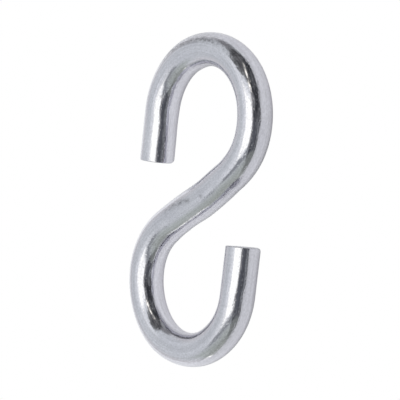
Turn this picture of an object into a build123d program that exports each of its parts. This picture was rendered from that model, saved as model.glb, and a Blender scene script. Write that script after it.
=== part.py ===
"""S hook bent from one length of 5/16 in steel rod, with two open hooks that face opposite ways.

The hook lies flat. Its origin is below the middle of the straight between the two bends, on the
surface that it lies on: +Y points to the upper hook's crown, +Z points up, off that surface.
"""

import os
from math import cos, pi, radians, sin

from build123d import *

# Rod and its line, in millimetres and degrees
rod_diameter = 7.94
bend_radius = 15.4
bend_angle = 232.5
spine_length = 22.5
upper_leg_length = 12.4
lower_leg_length = 10.7

# A bend flattens round bar: thinner towards the seat, thicker across the hook's plane
bend_flattening = 0.035
side_arc = 140.0
blend_length = 3.6
blend_steps = 4

# Both ends are sheared off: the blade rolls one side of the edge over and leaves the rest sharp
spare_length = 4.0
blade_turn = 45.0
upper_cut_slant = 0.0
lower_cut_slant = 5.8
rolled_edge = 0.9
roll_radius = 1.0
roll_angle = 75.0
edge_break = 0.12

rod_radius = rod_diameter / 2
blade_reach = 1.25 * rod_radius
rest_height = rod_radius * (1 + bend_flattening)


def bar_section(centre, along_bar, flattening):
    """The bar's outline across its line: four tangent arcs, tight above and below, wider at the sides."""
    half_side = radians(side_arc / 2)
    spread = 2 * flattening * rod_radius / (cos(half_side) + sin(half_side) - 1)
    side_radius = rod_radius * (1 - flattening) + spread * cos(half_side)
    end_radius = side_radius - spread
    end_centre = rod_radius * (1 + flattening) - end_radius
    start = (end_centre + end_radius * sin(half_side), -end_radius * cos(half_side))
    with BuildSketch(Plane(origin=centre, x_dir=(0, 0, 1), z_dir=along_bar)) as section:
        with BuildLine():
            top = JernArc(start, (cos(half_side), sin(half_side)), end_radius, 180 - side_arc)
            one_side = JernArc(top @ 1, top % 1, side_radius, side_arc)
            foot = JernArc(one_side @ 1, one_side % 1, end_radius, 180 - side_arc)
            JernArc(foot @ 1, foot % 1, side_radius, side_arc)
        make_face()
    return section.sketch


def blend_sections(bend_end, away):
    """Sections from a bend's end, where the bar is flattened, to round bar a blend length away."""
    sections = []
    for step in range(blend_steps + 1):
        share = step / blend_steps
        flattening = bend_flattening * (1 - share**2 * (3 - 2 * share))
        sections.append(bar_section(bend_end + away * (share * blend_length), away, flattening))
    return sections


# The bar's line grows both ways from the middle of the spine, past the legs' cut ends
with BuildLine() as bar_line:
    middle = Vector(0, 0, rest_height)
    half_spine = Vector(spine_length / 2, 0, 0).rotate(Axis.Z, 90 - bend_angle)
    spine = Line(middle - half_spine, middle + half_spine)
    upper_bend = JernArc(spine @ 0, -(spine % 0), bend_radius, bend_angle)
    upper_leg = Line(upper_bend @ 1, upper_bend @ 1 + (upper_bend % 1) * (upper_leg_length + spare_length))
    lower_bend = JernArc(spine @ 1, spine % 1, bend_radius, bend_angle)
    lower_leg = Line(lower_bend @ 1, lower_bend @ 1 + (lower_bend % 1) * (lower_leg_length + spare_length))

with BuildPart() as s_hook:
    # The spine is round bar between the two blends
    with BuildSketch(Plane(origin=middle, x_dir=(0, 0, 1), z_dir=spine % 0)):
        Circle(rod_radius)
    extrude(amount=spine_length / 2 - blend_length, both=True)

    # Each hook is a flattened bend with a blend at both its ends, then a round leg
    for bend, leg in ((upper_bend, upper_leg), (lower_bend, lower_leg)):
        loft(blend_sections(bend @ 0, -(bend % 0)))
        bend_axis = Axis(bend.center_point, (0, 0, 1))
        revolve(bar_section(bend @ 0, bend % 0, bend_flattening), bend_axis, bend_angle)
        loft(blend_sections(bend @ 1, bend % 1))
        round_start = leg @ 0 + (leg % 0) * blend_length
        with BuildSketch(Plane(origin=round_start, x_dir=(0, 0, 1), z_dir=leg % 0)):
            Circle(rod_radius)
        extrude(amount=leg.length - blend_length)

    # Each cut leaves a flat face with its rolled edge on the side that the blade came from
    blade_side = Vector(1, 0, 0).rotate(Axis.Y, blade_turn)
    cuts = ((upper_leg, upper_leg_length, upper_cut_slant), (lower_leg, lower_leg_length, lower_cut_slant))
    for leg, leg_length, slant in cuts:
        tip = leg @ 0 + (leg % 0) * leg_length
        outward = (leg % 0).rotate(Axis.Z, slant)
        along_blade = blade_side.cross(outward)
        with BuildSketch(Plane(origin=tip, x_dir=outward.cross(along_blade), z_dir=along_blade)):
            with BuildLine():
                face = Line((-blade_reach, 0), (rod_radius - rolled_edge, 0))
                roll = JernArc(face @ 1, (1, 0), roll_radius, -roll_angle)
                Polyline(roll @ 1, (blade_reach, (roll @ 1).Y), (blade_reach, blade_reach),
                         (-blade_reach, blade_reach), face @ 0)
            make_face()
        extrude(amount=blade_reach, both=True, mode=Mode.SUBTRACT)

    # The plating leaves the sharp side of each rim just blunt
    end_faces = s_hook.faces().filter_by(GeomType.PLANE)
    roll_faces = s_hook.faces().filter_by(lambda face: face.geom_type == GeomType.CYLINDER
                                          and abs(face.radius - roll_radius) < 0.001)
    rims = (end_faces + roll_faces).edges().filter_by(GeomType.LINE, reverse=True)
    chamfer(rims, edge_break)

s_hook.part.label = "s_hook"
os.makedirs("parts", exist_ok=True)
export_step(s_hook.part, "parts/s_hook.step")

size = s_hook.part.bounding_box().size
bar_length = Wire(bar_line.edges()).length - 2 * spare_length
print(f"overall {size.Y:.2f} long, {size.X:.2f} wide, {size.Z:.2f} thick")
print(f"inside each hook {2 * (bend_radius - rod_radius):.2f}, bar {bar_length:.1f} long")
print(f"volume {s_hook.part.volume:.0f}, against {pi * rod_radius**2 * bar_length:.0f} for the plain bar")
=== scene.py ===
# %% [markdown]
# # An S hook in bright zinc plate
#
# An S hook is one length of round steel rod, bent into two open hooks that face opposite ways. Its
# ends are sheared off, and then it is plated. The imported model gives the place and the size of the
# hook. This lesson dresses it: it makes the rod's skin as a fine mesh, gives it a plated finish, and
# lights it as a small shiny thing is lit in a studio.

import random
from math import cos, exp, pi, radians, sin, sqrt, tan

import bmesh
import bpy
from mathutils import Matrix, Vector


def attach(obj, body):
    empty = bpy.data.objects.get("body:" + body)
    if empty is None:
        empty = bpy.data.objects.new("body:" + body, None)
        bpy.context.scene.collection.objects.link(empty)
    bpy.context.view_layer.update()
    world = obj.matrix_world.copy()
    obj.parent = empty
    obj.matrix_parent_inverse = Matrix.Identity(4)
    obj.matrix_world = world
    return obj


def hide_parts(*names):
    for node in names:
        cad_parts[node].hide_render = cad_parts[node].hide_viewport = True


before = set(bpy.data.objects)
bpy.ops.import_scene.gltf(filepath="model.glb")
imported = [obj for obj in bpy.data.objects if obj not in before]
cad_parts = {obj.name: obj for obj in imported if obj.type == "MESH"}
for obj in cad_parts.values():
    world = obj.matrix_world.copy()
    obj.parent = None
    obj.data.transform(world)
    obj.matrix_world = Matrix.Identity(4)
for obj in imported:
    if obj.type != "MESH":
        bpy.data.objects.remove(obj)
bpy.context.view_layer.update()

# %% [markdown]
# ## The rod's line
#
# Everything about a bent rod follows from its centre line: a straight leg, an arc, the straight spine,
# an arc that turns the other way, and the other leg. A Bezier curve with a bevel would give such a
# tube quickly, but its section is the same everywhere. A real bend isn't: it flattens the rod. So the
# line is worked out here as plain numbers, and the skin is laid round it ring by ring.

# %% Measure the rod
MM = 0.001
rod_radius = 3.97 * MM
bend_radius = 15.4 * MM
bend_angle = radians(232.5)
spine_length = 22.5 * MM
upper_leg = 12.4 * MM
lower_leg = 11.0 * MM
flattening = 0.035
blend_length = 3.6 * MM
rest_height = rod_radius * (1 + flattening)

bend_length = bend_radius * bend_angle
spine_start = upper_leg + bend_length
spine_end = spine_start + spine_length
lower_leg_start = spine_end + bend_length
rod_length = lower_leg_start + lower_leg
print(f"rod {rod_length / MM:.1f} mm long, {2 * rod_radius / MM:.2f} mm thick")


# %% Walk along the line
def walk(along):
    """The line's point and heading at a distance from the upper tip."""
    lean = pi / 2 - bend_angle
    heading = Vector((cos(lean), sin(lean), 0))
    middle = Vector((0, 0, rest_height))
    if spine_start <= along <= spine_end:
        return middle + heading * (along - spine_start - spine_length / 2), heading
    lower = along > spine_end
    bend_start = middle + heading * (spine_length / 2) * (1 if lower else -1)
    ahead = heading if lower else -heading
    gone = along - spine_end if lower else spine_start - along
    centre = bend_start + Matrix.Rotation(pi / 2, 3, "Z") @ ahead * bend_radius
    turned = Matrix.Rotation(min(gone, bend_length) / bend_radius, 3, "Z")
    point = centre + turned @ (bend_start - centre)
    ahead = turned @ ahead
    point += ahead * max(gone - bend_length, 0)
    return point, ahead if lower else -ahead


for name, along in (("upper tip", 0), ("lower tip", rod_length)):
    print(name, [round(value / MM, 2) for value in walk(along)[0]])

# %% [markdown]
# ## The rod's section
#
# In a bend, the inner side is pressed against the pin that the rod is bent round, and the outer side is
# stretched. So the section grows narrower in the hook's plane and taller off it, while the legs and the
# spine stay round. Two scaled curve bevels would need a join where they meet. Here one number says how
# far the section is flattened at each place, and it eases in and out past the ends of a bend.


# %% Shape the section
def ease(share):
    """Zero to one, slow at both ends."""
    share = min(max(share, 0), 1)
    return share * share * (3 - 2 * share)


def bent(along):
    """How far the section is flattened: one in a bend, zero on a straight."""
    upper = ease(1 + (along - upper_leg) / blend_length)
    upper *= ease(1 - (along - spine_start) / blend_length)
    lower = ease(1 + (along - spine_end) / blend_length)
    lower *= ease(1 - (along - lower_leg_start) / blend_length)
    return max(upper, lower)


bend_section = [round(2 * rod_radius * share / MM, 2) for share in (1 - flattening, 1 + flattening)]
print("section in a bend, in mm", bend_section)

# %% [markdown]
# ## Tool marks
#
# The bending tool leaves low dents and swellings, and a pattern of finer ones where its jaws slid. A
# bump texture would shade them, but the hook's outline would stay perfect, and against the white even
# 0.1 mm shows. So each mark moves the skin itself. It is a soft hill or hollow, which is full in its
# middle and fades out round it. A scuff is laid out in the same way, but it only dulls the finish.

# %% List the tool marks
# A mark is too faint to matter past this many of its lengths
FADED_OUT = 3


def add_marks(marks, along, turn):
    """What the marks of a table add up to at a place on the rod."""
    total = 0
    for mark_along, mark_turn, length, width, amount in marks:
        apart = (along / MM - mark_along) / length
        if abs(apart) > FADED_OUT:
            continue
        swing = (turn - radians(mark_turn) + pi) % (2 * pi) - pi
        across = swing * rod_radius / MM / width
        total += amount * exp(-apart * apart - across * across)
    return total


# Each mark: how far along in mm, where round in degrees, its length, width and height in mm
tool_marks = (
    (87.3, -143, 3.2, 3.2, 0.20),
    (99.2, -155, 3.2, 3.0, 0.22),
    (48.0, 165, 3.0, 3.0, 0.10),
    (9.5, -26, 3.5, 2.5, -0.14),
    (30.0, -15, 4.0, 2.5, 0.14),
    (142.0, 170, 8.0, 2.5, 0.14),
    (101.0, -148, 7.0, 3.5, 0.08),
    (101.0, 40, 10.0, 3.5, 0.09),
    (129.0, 20, 5.0, 3.0, 0.12),
    (28.0, 150, 5.0, 3.0, 0.10),
    (148.0, 170, 4.0, 3.0, 0.10),
    (90.5, 151, 5.0, 0.3, 0.02),
    (86.3, 90, 0.8, 0.5, -0.07),
    (89.2, 93, 3.4, 0.6, -0.02),
    (81.9, 105, 0.5, 0.45, -0.05),
    (15.9, 52, 0.35, 0.3, -0.015),
)
print(len(tool_marks), "tool marks")

# %% List the scuffs
# Each scuff: its place, length and width in the same way, and how dull it is, from zero to one
scuffs = (
    (25.0, 124, 3.5, 0.6, 0.8),
    (31.0, 118, 4.0, 0.55, 0.8),
    (37.0, 122, 3.5, 0.6, 0.9),
    (34.0, 142, 9.0, 2.4, 0.45),
    (86.3, 90, 0.9, 0.5, 1.0),
    (88.2, 80, 1.8, 0.5, 0.8),
    (91.5, 72, 3.2, 0.6, 0.9),
    (81.9, 105, 0.5, 0.45, 0.9),
    (15.9, 52, 0.5, 0.4, 0.9),
    (22.5, 42, 4.5, 1.6, 0.5),
    (77.0, 140, 4.0, 1.5, 0.15),
    (101.5, 128, 4.0, 1.6, 0.4),
    (150.0, 38, 5.0, 1.6, 0.4),
)
print(len(scuffs), "scuffs")

# %% Scatter the fine marks
# Each place where the jaws slid: how many marks, from where to where along in mm, and round in degrees
slid_places = (
    (40, 104, 126, 130, 162),
    (44, 44, 68, 112, 160),
    (34, 1, 25, 14, 45),
    (40, 140, 168, 22, 52),
    (34, 15, 28, 24, 60),
)
random.seed(11)
fine_marks = []
for count, start, end, low_turn, high_turn in slid_places:
    for number in range(count):
        middle = (random.uniform(start, end), random.uniform(low_turn, high_turn))
        size = (random.uniform(0.6, 1.6), random.uniform(0.3, 0.6))
        fine_marks.append((*middle, *size, random.choice((-1, 1)) * random.uniform(0.005, 0.017)))
print(len(fine_marks), "fine marks")

# %% [markdown]
# ## Bows in the line
#
# The former also leaves the line a little off its true run, most of all where the upper bend comes out
# into the spine. Bending the finished mesh with a lattice could do this. It is simpler to move each
# ring to its side as it is laid, by bell curves again, so that the section isn't sheared.

# %% Bow the line
# Each bow: where its middle is along the rod, its length and its depth, in mm
bows = (
    (9, 9, -0.15),
    (60, 7, 0.09),
    (72, 4, 0.09),
    (83, 5.8, -0.42),
    (109, 8, 0.15),
    (127, 6, 0.12),
    (148, 5, -0.06),
)


def bowed(along):
    """How far the bows move the line to its side here."""
    return MM * sum(depth * exp(-((along / MM - middle) / length) ** 2) for middle, length, depth in bows)


print(len(bows), "bows, the deepest", max(abs(depth) for middle, length, depth in bows), "mm")

# %% [markdown]
# ## Sheared ends
#
# A blade cuts the rod to length. It rolls one side of the edge over and leaves the other side sharp.
# A boolean cut would give this shape, with ragged faces along the cut. A formula for the height of the
# cut face, anywhere on the rod's end, lets the rings be laid straight onto it instead.

# %% Describe a sheared end
blade_side = Vector((1, 0, -1)).normalized()
rolled_edge = 0.9 * MM
roll_radius = 1.0 * MM
edge_round = 0.14 * MM
# Each cut: how far its face slants in the hook's plane, and how far across it
upper_cut = (0, 0)
lower_cut = (radians(5.3), radians(2.4))


def cut_height(across, up, cut):
    """How far a sheared end reaches past its tip, at a place on its face."""
    side = across * blade_side.x + up * blade_side.z
    over = min(max(side - (rod_radius - rolled_edge), 0), rolled_edge)
    face = across * tan(cut[0]) + up * tan(cut[1])
    return face - (roll_radius - sqrt(roll_radius**2 - over**2))


rolled_down = -cut_height(rod_radius * blade_side.x, rod_radius * blade_side.z, upper_cut)
print(f"the upper end's rolled side lies {rolled_down / MM:.2f} mm below its face")

# %% [markdown]
# ## The skin
#
# Rings of points stand square to the line. Each ring has the same count, so neighbours join in clean
# four-sided faces that run with the rod, as the streaks of its finish do. Towards each end the rings
# lean over until the last one lies exactly in the sheared edge. A cylinder on a Curve modifier would be
# quicker to set up, but it can't lean its end rings, nor carry the marks.

# %% Lay a ring
AROUND = 120
turns = [2 * pi * step / AROUND for step in range(AROUND)]
skin = bmesh.new()
straight_place = []
dullness = []
rings = []


def add_point(along, turn, size, past_tip):
    """One point of the skin, and where it would be on the rod before it was bent."""
    point, heading = walk(along)
    side = Vector((heading.y, -heading.x, 0))
    amount = bent(along) * flattening
    marked = add_marks(tool_marks, along, turn) + add_marks(fine_marks, along, turn)
    reach = size + marked * MM * size / rod_radius
    across = reach * cos(turn) * (1 - amount) + bowed(along)
    up = reach * sin(turn) * (1 + amount)
    skin.verts.new(point + side * across + Vector((0, 0, up)) + heading * past_tip)
    straight_place.append((size * cos(turn), size * sin(turn), along + past_tip))
    dullness.append(add_marks(scuffs, along, turn))


def add_ring(along, size, offsets):
    """A ring of points, each moved along the rod by its own offset."""
    first = len(straight_place)
    for turn, offset in zip(turns, offsets):
        add_point(along, turn, size, offset)
    rings.append(range(first, first + AROUND))


print(f"{AROUND} points to a ring, {2 * pi * rod_radius / AROUND / MM:.2f} mm apart")

# %% Plan the ends
cap_shares = (0.06, 0.14, 0.22, 0.3, 0.38, 0.46, 0.54, 0.62, 0.7, 0.76, 0.81, 0.86, 0.9, 0.93)
cap_sizes = [rod_radius * share for share in cap_shares]
round_turns = [radians(angle) for angle in (90, 60, 30, 0)]
round_sizes = [rod_radius - edge_round * (1 - cos(angle)) for angle in round_turns]
round_drops = [edge_round * (1 - sin(angle)) for angle in round_turns]


def end_ring(tip, outward, cut, size, drop):
    """A ring on a sheared end, at a size and a drop below the face."""
    heights = [cut_height(size * cos(turn), size * sin(turn), cut) - drop for turn in turns]
    add_ring(tip, size, [outward * height for height in heights])


print(len(cap_sizes), "rings on each face,", len(round_sizes), "round its edge")

# %% Lay the rings
ring_gap = 0.26 * MM
lean_length = 2.4 * MM
ring_count = round(rod_length / ring_gap)

for size in cap_sizes:
    end_ring(0, -1, upper_cut, size, 0)
for size, drop in zip(round_sizes, round_drops):
    end_ring(0, -1, upper_cut, size, drop)
first_side_ring = len(rings)
for number in range(1, ring_count):
    along = rod_length * number / ring_count
    from_upper = ease(1 - along / lean_length)
    from_lower = ease(1 - (rod_length - along) / lean_length)
    offsets = []
    for turn in turns:
        across, up = rod_radius * cos(turn), rod_radius * sin(turn)
        upper_lean = edge_round - cut_height(across, up, upper_cut)
        lower_lean = cut_height(across, up, lower_cut) - edge_round
        offsets.append(from_upper * upper_lean + from_lower * lower_lean)
    add_ring(along, rod_radius, offsets)
last_side_ring = len(rings)
for size, drop in reversed(list(zip(round_sizes, round_drops))):
    end_ring(rod_length, 1, lower_cut, size, drop)
for size in reversed(cap_sizes):
    end_ring(rod_length, 1, lower_cut, size, 0)
print(len(rings), "rings")

# %% Join the rings
points = list(skin.verts)
for ring, following in zip(rings, rings[1:]):
    for step in range(AROUND):
        ahead = (step + 1) % AROUND
        corners = (ring[step], ring[ahead], following[ahead], following[step])
        skin.faces.new([points[corner] for corner in corners])
for ring in (rings[0], rings[-1]):
    middle = skin.verts.new(sum((points[number].co for number in ring), Vector()) / AROUND)
    straight_place.append((0, 0, straight_place[ring[0]][2]))
    dullness.append(0)
    for step in range(AROUND):
        skin.faces.new((points[ring[step]], points[ring[(step + 1) % AROUND]], middle))
bmesh.ops.recalc_face_normals(skin, faces=skin.faces)
print(len(skin.verts), "points in the skin")

# %% Make the hook
hook_mesh = bpy.data.meshes.new("plated_hook")
skin.to_mesh(hook_mesh)
skin.free()
hook_mesh.shade_smooth()
hook = bpy.data.objects.new("plated_hook", hook_mesh)
bpy.context.collection.objects.link(hook)

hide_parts("s_hook")
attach(hook, "root")
print(hook.name, "has", 2 * len(hook_mesh.polygons), "triangles at most")

# %% [markdown]
# ## What the finish has to know
#
# A noise in the object's own space would run straight through the bends, and an unwrapped map would
# have a seam. So three values are stored on the points as attributes, for the material to read: the
# place on the rod before it was bent, whether the point is on a cut face, and how scuffed it is there.

# %% Store the finish's guides
rod_place = hook_mesh.attributes.new("rod_place", "FLOAT_VECTOR", "POINT")
rod_place.data.foreach_set("vector", [value for place in straight_place for value in place])

# The two faces' middle points came last. The widest ring of each rounded edge counts as the rod's side
end_points = {len(straight_place) - 1, len(straight_place) - 2}
for ring in rings[:first_side_ring - 1] + rings[last_side_ring + 1:]:
    end_points.update(ring)
cut_face = hook_mesh.attributes.new("cut_face", "FLOAT", "POINT")
cut_face.data.foreach_set("value", [float(number in end_points) for number in range(len(straight_place))])

scuffed = hook_mesh.attributes.new("scuffed", "FLOAT", "POINT")
scuffed.data.foreach_set("value", dullness)
print(len(end_points), "points on the cut faces, the dullest scuff", round(max(dullness), 2))

# %% [markdown]
# ## Zinc plate
#
# Bright zinc is a soft mirror. Up close it is never perfect: drawing the rod leaves fine lines that run
# along it, the plating grows a grain like orange peel, and the bath leaves small pits and faint clouds.
# A photograph of zinc, wrapped round the rod, would show its own lights and would repeat. So each of
# these is a noise, stretched along the rod or not, in the place that the points carry.

# %% Start the finish
zinc = bpy.data.materials.new("zinc_plate")
zinc.use_nodes = True
nodes = zinc.node_tree.nodes
links = zinc.node_tree.links
plate = nodes["Principled BSDF"]
plate.inputs["Metallic"].default_value = 1.0


def guide(name):
    """Reads one of the values that the hook's points carry."""
    reader = nodes.new("ShaderNodeAttribute")
    reader.attribute_name = name
    return reader


place = guide("rod_place").outputs["Vector"]
on_cut = guide("cut_face").outputs["Fac"]
on_scuff = guide("scuffed").outputs["Fac"]
print("started", zinc.name)


# %% Make noises
def noise(name, scale, detail, roughness=0.5, where=place):
    """A cloud from zero to one, scaled across and along the rod."""
    mapping = nodes.new("ShaderNodeMapping")
    mapping.label = name
    mapping.inputs["Scale"].default_value = scale
    links.new(where, mapping.inputs["Vector"])
    texture = nodes.new("ShaderNodeTexNoise")
    texture.label = name
    texture.inputs["Scale"].default_value = 1.0
    texture.inputs["Detail"].default_value = detail
    texture.inputs["Roughness"].default_value = roughness
    links.new(mapping.outputs["Vector"], texture.inputs["Vector"])
    return texture.outputs["Fac"]


clouds = noise("bath clouds", (220, 220, 90), 3)
grain = noise("plating grain", (3200, 3200, 2600), 2)
streaks = noise("drawing lines", (2600, 2600, 60), 3, 0.6)
bands = noise("broad drawing lines", (1100, 1100, 30), 2)
mottle = noise("mottle", (1500, 1500, 1100), 3, 0.65)
waves = noise("hand of the bender", (260, 260, 160), 1)
orange_peel = noise("orange peel", (900, 900, 600), 2)
pits = noise("pits", (2400, 2400, 2000), 2)
print(len(nodes), "nodes")


# %% Make sums
def spread(name, value, low, high, to_low, to_high):
    """A value's part from low to high, laid out over a new span."""
    remap = nodes.new("ShaderNodeMapRange")
    remap.label = name
    remap.inputs["From Min"].default_value = low
    remap.inputs["From Max"].default_value = high
    remap.inputs["To Min"].default_value = to_low
    remap.inputs["To Max"].default_value = to_high
    links.new(value, remap.inputs["Value"])
    return remap.outputs["Result"]


def feed(socket, value):
    """Gives a socket a number or colour, or links it to another node's socket."""
    if isinstance(value, bpy.types.NodeSocket):
        links.new(value, socket)
    else:
        socket.default_value = value


def maths(name, kind, first, second):
    """One sum on two values."""
    node = nodes.new("ShaderNodeMath")
    node.label = name
    node.operation = kind
    feed(node.inputs[0], first)
    feed(node.inputs[1], second)
    return node.outputs[0]


worn = maths("worn", "MULTIPLY", on_scuff, spread("worn spots", mottle, 0.4, 0.6, 0.35, 1.0))
print(len(nodes), "nodes")

# %% [markdown]
# ## Torn ends
#
# A blade shears the first part of the rod and tears through the rest, so a cut face is rough, with
# lines that run the way the blade went. They could be modelled, but most are thinner than the mesh is
# fine. So they are one more noise, turned to the blade's way and drawn out along it, and the cut
# faces' guide keeps them off the rest of the rod.

# %% Tear the cut faces
blade_way = nodes.new("ShaderNodeMapping")
blade_way.label = "along the blade"
blade_way.inputs["Rotation"].default_value = (0, 0, radians(45))
links.new(place, blade_way.inputs["Vector"])
tears = noise("shear lines", (160, 1500, 160), 3, 0.6, blade_way.outputs["Vector"])
shear = maths("shear", "MULTIPLY", tears, on_cut)
print(len(nodes), "nodes")

# %% [markdown]
# ## The tint
#
# Plated zinc is cold, and slightly lilac. A metal has no colour under its reflections, so the tint is
# Base Color, and it tints what the metal shows. One flat colour looks like chrome. Here the tint
# drifts between a colder and a paler one, and lines, grain, scuffs and torn ends darken it a little.

# %% Let the tint drift
# A Mix node has one A, one B and one Result for each kind of value, so its colours go by number
COLOUR_A, COLOUR_B, COLOUR_RESULT = 6, 7, 2
cold = (0.697, 0.694, 0.753, 1)
pale = (0.738, 0.736, 0.789, 1)


def blend(name, kind, factor, first, second):
    """Two colours mixed by a factor."""
    mix = nodes.new("ShaderNodeMix")
    mix.label = name
    mix.data_type = "RGBA"
    mix.blend_type = kind
    feed(mix.inputs["Factor"], factor)
    feed(mix.inputs[COLOUR_A], first)
    feed(mix.inputs[COLOUR_B], second)
    return mix.outputs[COLOUR_RESULT]


tint = blend("clouds", "MIX", spread("cloud share", clouds, 0.35, 0.65, 0, 1), cold, pale)
print("the tint drifts from", cold[:3], "to", pale[:3])

# %% Darken it in lines and spots
fine_shade = spread("fine", streaks, 0.3, 0.7, 1.08, 0.92)
broad_shade = spread("broad", bands, 0.3, 0.7, 1.05, 0.95)
grain_shade = spread("speckle", grain, 0.3, 0.7, 1.10, 0.90)
scuff_shade = spread("scuff shade", worn, 0, 1, 1.0, 0.45)
shear_shade = spread("shear shade", shear, 0.35, 0.65, 1.0, 0.7)
shades = maths("line shade", "MULTIPLY", fine_shade, broad_shade)
shades = maths("and grain", "MULTIPLY", shades, grain_shade)
shades = maths("and scuffs", "MULTIPLY", shades, scuff_shade)
shades = maths("and shear lines", "MULTIPLY", shades, shear_shade)
grey = nodes.new("ShaderNodeCombineColor")
for socket in grey.inputs:
    links.new(shades, socket)
links.new(blend("shaded", "MULTIPLY", 1.0, tint, grey.outputs["Color"]), plate.inputs["Base Color"])
print("tinted,", len(nodes), "nodes")

# %% [markdown]
# ## The gloss
#
# Plating is glossier than brushed steel and duller than chrome, so the studio's edges show in it a
# little blurred. A coat over the metal would give one sharp reflection too many. The metal's own
# roughness does it. It wavers with the clouds and the drawing lines, and it is higher on the cut faces
# and in the scuffs.

# %% Soften its gloss
cloudy = spread("cloud gloss", clouds, 0.3, 0.7, 0.08, 0.12)
lined = spread("line gloss", streaks, 0.3, 0.7, -0.02, 0.03)
gloss = maths("plated gloss", "ADD", cloudy, lined)
gloss = maths("and cut faces", "ADD", gloss, maths("cut gloss", "MULTIPLY", on_cut, 0.16))
gloss = maths("and scuffs", "ADD", gloss, maths("scuff gloss", "MULTIPLY", worn, 0.25))
links.new(gloss, plate.inputs["Roughness"])
print("softened,", len(nodes), "nodes")

# %% [markdown]
# ## The surface
#
# What bends a reflection most is the slope of the surface. The waves of the bending, the orange peel,
# the lines and the pits are lower than 0.05 mm, too low to show in an outline, and the torn lines lie
# inside a face. So they are all a bump. One Bump node takes their sum in millimetres, because a chain
# of Bump nodes would tilt one layer by another.

# %% Raise its surface
pit_floor = spread("pit depth", pits, 0.28, 0.40, 0, 1)
# Each layer: what it is, its pattern, and how high it stands in mm
layers = (
    ("waves", waves, 0.04),
    ("peel", orange_peel, 0.022),
    ("lines", streaks, 0.010),
    ("bands", bands, 0.010),
    ("pits", pit_floor, 0.014),
    ("grain", grain, 0.009),
    ("mottle", worn, -0.010),
    ("shear", shear, 0.20),
)
height = 0.0
for name, layer, depth in layers:
    height = maths("add " + name, "ADD", height, maths(name, "MULTIPLY", layer, depth))
bump = nodes.new("ShaderNodeBump")
bump.inputs["Distance"].default_value = MM
bump.inputs["Strength"].default_value = 1.0
links.new(height, bump.inputs["Height"])
links.new(bump.outputs["Normal"], plate.inputs["Normal"])
hook_mesh.materials.append(zinc)
print("finish", zinc.name, len(nodes), "nodes")

# %% [markdown]
# ## The camera
#
# The hook lies flat, and the camera looks down on it along a slant, turned so that the upper hook is at
# the top. A constraint that tracks the hook would aim it, but couldn't give its roll. So three turns
# take the hook's axes to the camera's: round the hook's length, then a small tilt, and then the roll.
# The lens is long and half a metre away, so the far hook is hardly smaller.

# %% Place the camera
view_turn = Matrix.Rotation(radians(-46.7507), 3, "Y")
view_tilt = Matrix.Rotation(radians(6.217), 3, "X")
view_roll = Matrix.Rotation(radians(-6.5706), 3, "Z")
to_camera = view_roll @ view_tilt @ view_turn
from_camera = to_camera.transposed()
radius_to_distance = 0.0079
camera_distance = rod_radius / radius_to_distance
# Where the hook's middle lies from the picture's middle, to the right and up
aim_shift = Vector((-0.0201, -0.0089, 0)) * rod_radius
picture_width = 400
pixels_per_radius = 17.4206
sensor_width = 36

camera_data = bpy.data.cameras.new("camera")
camera_data.sensor_width = sensor_width
camera_data.lens = pixels_per_radius / radius_to_distance / picture_width * sensor_width
camera_data.clip_start = 0.01
camera = bpy.data.objects.new("camera", camera_data)
bpy.context.collection.objects.link(camera)
spot = from_camera @ (Vector((0, 0, camera_distance)) - aim_shift) + Vector((0, 0, rest_height))
camera.matrix_world = Matrix.Translation(spot) @ from_camera.to_4x4()
bpy.context.scene.camera = camera
print("camera at", [round(value, 3) for value in spot], "lens", round(camera_data.lens, 1))

# %% [markdown]
# ## The studio
#
# A mirror shows its surroundings, so lighting one means choosing what it sees: a large softbox for the
# white stripe, the dark of the room beside the camera for the charcoal one, and in the dark three lamps
# for the thin bright streaks. Lamps and cards could be hung one by one. Here they are all painted on
# the inside of one large shell, because a shell has soft edges between its patches and lights the
# paper evenly as well. A patch is placed by its turn to the camera's side and its rise from it.

# %% Name what the metal sees
# The metal gives back this share of red, green and blue, midway between its cold and its pale tint
metal_share = (0.718, 0.715, 0.771)


def seen(tones):
    """The light that a patch gives off, from its red, green and blue in the metal on a scale to 255."""
    # A screen's tones rise by a curve, which is undone first
    shares = [((tone / 255 + 0.055) / 1.055) ** 2.4 for tone in tones]
    return [share / metal for share, metal in zip(shares, metal_share)]


plain_wall = (184, 187, 195)
# Each patch: its turns, left and right, its rises, low and high, how soft its edges are, and its tone
patches = (
    ("far wall", -250, -120, -70, 70, 30, (187, 186, 193)),
    ("ceiling", -200, 200, 76, 120, 12, (140, 143, 148)),
    ("table side", -104, 50, -120, -46, 26, (163, 168, 169)),
    ("table shade", -126, 50, -120, -68, 14, (152, 156, 155)),
    ("beam", -132, -60, 60, 80, 8, (120, 120, 126)),
    ("softbox glow", -76, -16, -36, 30, 12, (204, 206, 214)),
    ("room beyond", -66, 0, 33, 80, 8, (80, 79, 84)),
    ("room corner", -8, 48, -8, 78, 7, (45, 46, 51)),
    ("stand's foot", -2, 50, -70, -36, 14, (116, 119, 120)),
    ("camera stand", -8, 38, -40, 0, 7, (78, 80, 88)),
    ("softbox rim", -16, -2, -34, 26, 6, (128, 128, 134)),
    ("softbox frame", -72, -6, -44, -31, 7, (128, 131, 138)),
    ("softbox", -56, -11, -27, 19, 6, (256, 256, 258)),
    ("stand's bright edge", 27, 34, -34, -9, 3, (126, 129, 135)),
    ("card on the table", -137, -111, -80.5, -72, 2, (270, 270, 270)),
)
lamps = (
    ("lamp, low end", -16, -5, 25, 35, 2, (268, 264, 260)),
    ("lamp, middle", -18, -9, 39, 49, 2, (268, 264, 260)),
    ("lamp, high end", -20, -13, 52, 59, 2, (225, 221, 218)),
)
print(len(patches), "patches and", len(lamps), "lamps")

# %% [markdown]
# ## Small things in the dark
#
# A plain dark patch would give a plain dark stripe. In a real room there are stands, clips and shelves
# in it, and the metal's grain breaks them up into a mottle. None of them can be made out, so they needn't
# be modelled: small patches, some lighter and some darker than the dark, are scattered over it.

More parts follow.
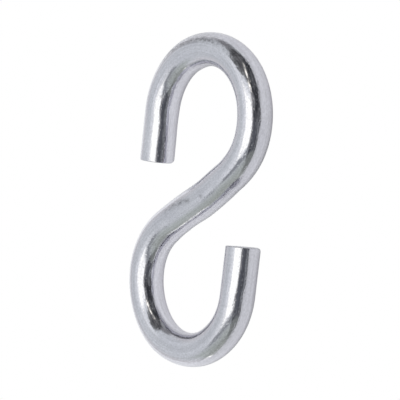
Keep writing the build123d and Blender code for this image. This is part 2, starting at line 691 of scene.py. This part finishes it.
# %% Fill the dark with small things
# Each kind: how many, their turns and rises, half their widths and heights, how soft, tones, extra blue
clutter_kinds = (
    ("tall thing", 70, (-4, 41), (-38, 76), (1, 3), (3, 10), 3, (38, 48, 58, 96, 112), 6),
    ("wide thing", 110, (-64, 2), (32, 80), (2, 6), (1, 3), 2, (44, 54, 64, 104, 122), 4),
)
random.seed(5)
clutter = []
for name, count, turn_span, rise_span, half_widths, half_heights, soft, tones, blueness in clutter_kinds:
    for number in range(count):
        turn, rise = random.uniform(*turn_span), random.uniform(*rise_span)
        half_width, half_height = random.uniform(*half_widths), random.uniform(*half_heights)
        tone = random.choice(tones)
        edges = (turn - half_width, turn + half_width, rise - half_height, rise + half_height)
        clutter.append((name, *edges, soft, (tone, tone + 1, tone + blueness)))
print(len(clutter), "small things")

# %% Mix the light of a direction
# Later patches lie over earlier ones, and the lamps hang in front of everything
hung = [(*patch[1:6], seen(patch[6])) for patch in (*patches, *clutter, *lamps)]


def light_from(turn, rise):
    """The colour of the shell in a direction, given by turn and rise from the camera."""
    colour = seen(plain_wall)
    for left, right, low, high, soft, glow in hung:
        cover = 1.0
        for inside in (turn - left, right - turn, rise - low, high - rise):
            cover *= ease(inside / soft + 0.5)
            if not cover:
                break
        if cover:
            colour = [old + cover * (new - old) for old, new in zip(colour, glow)]
    return colour


def towards(turn, rise):
    """A direction by the camera's own left and right, up and down, with nought straight behind it."""
    turn, rise = radians(turn), radians(rise)
    return from_camera @ Vector((cos(rise) * sin(turn), sin(rise), cos(rise) * cos(turn)))


print("softbox glows", [round(value, 2) for value in light_from(-34, 0)])

# %% [markdown]
# ## The shell
#
# The shell is a sphere of points, one every two degrees. Each stores the light of its direction as a
# colour, and between the points the colours blend. An image round the world would light the hook in
# the same way, but a picture file can't be part of this script. The camera doesn't see the shell.

# %% Build the shell
shell_radius = 2.5
shell_step = 2
shell_turns = range(-180, 180, shell_step)
shell_rises = range(-90 + shell_step, 90, shell_step)
shell_mesh = bmesh.new()
shell_light = []
shell_rows = []
for rise in shell_rises:
    shell_rows.append([shell_mesh.verts.new(towards(turn, rise) * shell_radius) for turn in shell_turns])
    shell_light += [light_from(turn, rise) for turn in shell_turns]
# A row's first point is joined to its last one by step - 1, which closes the row
for low, high in zip(shell_rows, shell_rows[1:]):
    for step in range(len(low)):
        shell_mesh.faces.new((low[step - 1], low[step], high[step], high[step - 1]))
shell_mesh.faces.new(shell_rows[0])
shell_mesh.faces.new(shell_rows[-1])
shell_data = bpy.data.meshes.new("studio_shell")
shell_mesh.to_mesh(shell_data)
shell_mesh.free()
light_layer = shell_data.color_attributes.new("light", "FLOAT_COLOR", "POINT")
light_layer.data.foreach_set("color", [value for colour in shell_light for value in (*colour, 1.0)])
print("shell", len(shell_data.polygons), "faces")

# %% Make the shell glow
shell_paint = bpy.data.materials.new("studio_shell")
shell_paint.use_nodes = True
shell_nodes = shell_paint.node_tree.nodes
shell_links = shell_paint.node_tree.links
shell_nodes.remove(shell_nodes["Principled BSDF"])
light_reader = shell_nodes.new("ShaderNodeAttribute")
light_reader.attribute_name = "light"
shell_glow = shell_nodes.new("ShaderNodeEmission")
shell_links.new(light_reader.outputs["Color"], shell_glow.inputs["Color"])
shell_links.new(shell_glow.outputs[0], shell_nodes["Material Output"].inputs["Surface"])
shell_data.materials.append(shell_paint)
shell = bpy.data.objects.new("studio_shell", shell_data)
bpy.context.collection.objects.link(shell)
shell.visible_camera = False
print(shell.name, "glows")

# %% [markdown]
# ## The paper
#
# The hook lies on white paper. The metal that faces down shows the paper and the hook's shadow on it,
# but the picture shows the hook cut out on pure white. Two sheets, each hidden from the other's rays,
# could do it. It is simpler for one material to do both jobs: the camera meets a plain white glow, and
# every other ray meets matt paper. The matt paper also has a faint glow, which is painted light that
# lightens it and its shadows, and this painted light is stronger on one side.

# %% Cut the paper
paper_steps = 64
rim = [2 * pi * step / paper_steps for step in range(paper_steps)]
paper_points = [(shell_radius * cos(turn), shell_radius * sin(turn), 0) for turn in rim]
paper_data = bpy.data.meshes.new("paper")
paper_data.from_pydata(paper_points, [], [tuple(range(paper_steps))])
paper = bpy.data.objects.new("paper", paper_data)
bpy.context.collection.objects.link(paper)
print("paper", 2 * shell_radius, "m across")

# %% Paint an uneven glow on it
paper_paint = bpy.data.materials.new("paper")
paper_paint.use_nodes = True
paper_nodes = paper_paint.node_tree.nodes
paper_links = paper_paint.node_tree.links
matt = paper_nodes["Principled BSDF"]
matt.inputs["Base Color"].default_value = (0.70, 0.70, 0.72, 1)
matt.inputs["Roughness"].default_value = 0.95
# The paper is no lamp: its glow is painted light, which lightens the paper and its shadows, and is
# painted stronger one way
matt.inputs["Emission Color"].default_value = (1, 1, 1, 1)

painted_glow_way = (-3, -1, 0)
paper_place = paper_nodes.new("ShaderNodeTexCoord")
slope = paper_nodes.new("ShaderNodeVectorMath")
slope.operation = "DOT_PRODUCT"
slope.inputs[1].default_value = painted_glow_way
paper_links.new(paper_place.outputs["Object"], slope.inputs[0])
painted_glow = paper_nodes.new("ShaderNodeMapRange")
painted_glow.inputs["From Min"].default_value = -0.14
painted_glow.inputs["From Max"].default_value = 0.14
painted_glow.inputs["To Min"].default_value = 0.08
painted_glow.inputs["To Max"].default_value = 0.30
paper_links.new(slope.outputs["Value"], painted_glow.inputs["Value"])
paper_links.new(painted_glow.outputs["Result"], matt.inputs["Emission Strength"])
paper_data.materials.append(paper_paint)
print("paper glows more towards", painted_glow_way)

# %% Cut the hook out on white
cut_out = paper_nodes.new("ShaderNodeEmission")
ray = paper_nodes.new("ShaderNodeLightPath")
chooser = paper_nodes.new("ShaderNodeMixShader")
paper_links.new(ray.outputs["Is Camera Ray"], chooser.inputs["Fac"])
paper_links.new(matt.outputs[0], chooser.inputs[1])
paper_links.new(cut_out.outputs[0], chooser.inputs[2])
paper_links.new(chooser.outputs[0], paper_nodes["Material Output"].inputs["Surface"])
print("paper has", len(paper_nodes), "nodes")

# %% [markdown]
# ## The fill lamp and the world
#
# The shell lights the paper from all round, so the hook's shadow on it is weak. A sun lamp would draw
# one with a hard edge. An area lamp on the softbox's side draws a soft one, which the metal shows as a
# darker line towards the paper. The lamp itself mustn't show in the metal, because the softbox is there
# already, so glossy rays don't see it. The world is plain white, and the Standard view keeps it white.

# %% Hang the fill lamp
fill_size = 0.6
fill_energy = 4.3
fill_distance = 1.2
fill_way = towards(-36, 30)
fill_data = bpy.data.lights.new("fill_lamp", "AREA")
fill_data.size = fill_size
fill_data.energy = fill_energy
fill = bpy.data.objects.new("fill_lamp", fill_data)
fill.location = fill_way * fill_distance
fill.rotation_euler = fill_way.to_track_quat("Z", "Y").to_euler()
fill.visible_glossy = False
bpy.context.collection.objects.link(fill)
print("fill lamp", fill_data.energy, "W at", [round(value, 2) for value in fill.location])

# %% Whiten the world
world = bpy.data.worlds.new("studio")
bpy.context.scene.world = world
world.use_nodes = True
world.node_tree.nodes["Background"].inputs["Color"].default_value = (1, 1, 1, 1)
bpy.context.scene.view_settings.view_transform = "Standard"
print("world white, view", bpy.context.scene.view_settings.view_transform)
